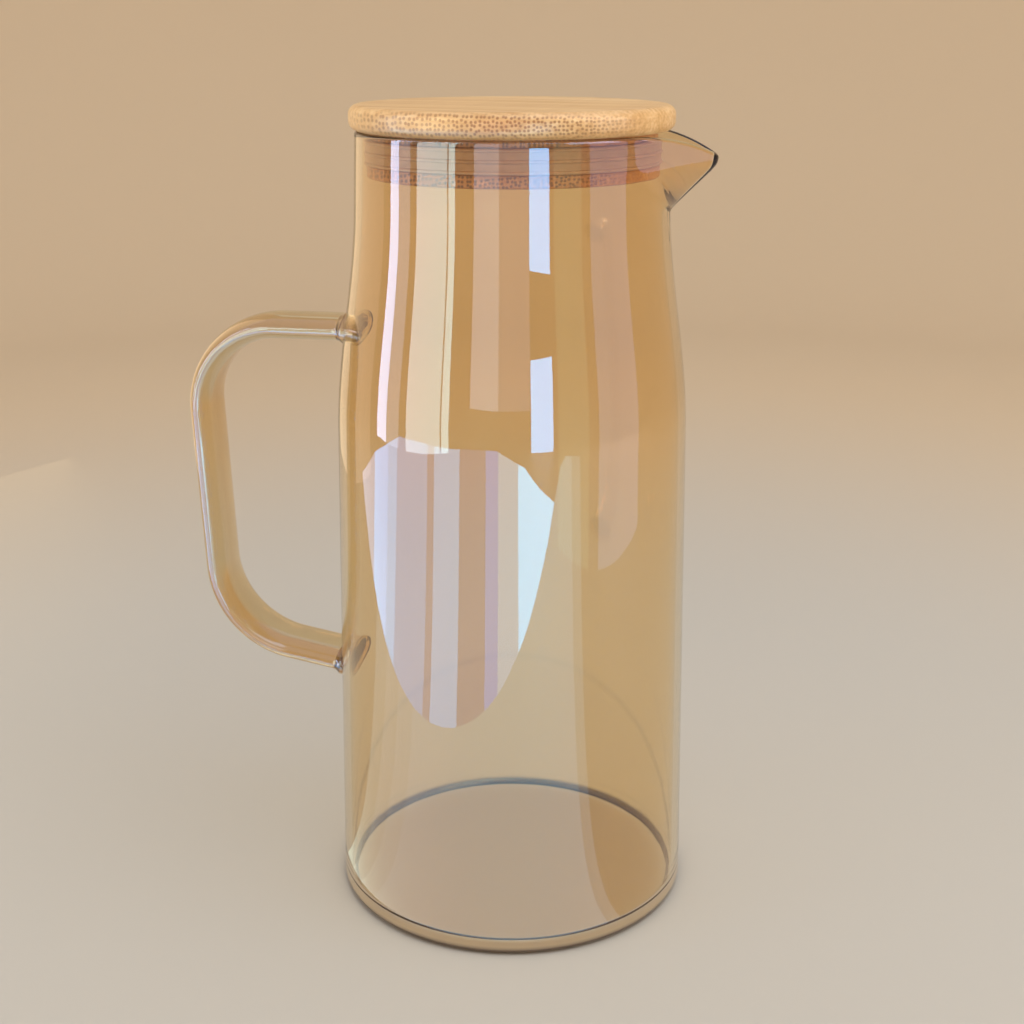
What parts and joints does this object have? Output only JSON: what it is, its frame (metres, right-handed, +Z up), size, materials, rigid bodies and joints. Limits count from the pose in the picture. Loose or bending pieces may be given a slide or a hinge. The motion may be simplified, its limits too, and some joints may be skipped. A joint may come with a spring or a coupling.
{
  "type": "glass jug with lid",
  "caption": "Pale amber glass pouring jug with a V-shaped spout, a flat strap handle and a bamboo plug lid sealed by a silicone ring.",
  "frame": {"origin": "centre of the flat underside of the glass base, on the jug's axis", "axes": "+Z up along the jug's axis, +X towards the pouring spout, handle along -X, XZ is the mirror plane"},
  "size_m": [0.1551, 0.1068, 0.2371],
  "materials": {
    "amber_glass": "clear pale amber borosilicate glass with a thin lustre coating",
    "bamboo": "sanded and lightly oiled bamboo",
    "silicone": "translucent food-grade silicone"
  },
  "bodies": {
    "jug": {"glass_body": "amber_glass", "glass_handle": "amber_glass", "upper_handle_weld": "amber_glass", "lower_handle_weld": "amber_glass"},
    "lid": {"lid_disc": "bamboo", "lid_plug": "bamboo", "seal_ring": "silicone"}
  },
  "joints": [
    {"name": "lid_lift", "type": "slide", "parent": "jug", "child": "lid", "axis": [0, 0, 1], "range_m": [0, 0.05]}
  ]
}
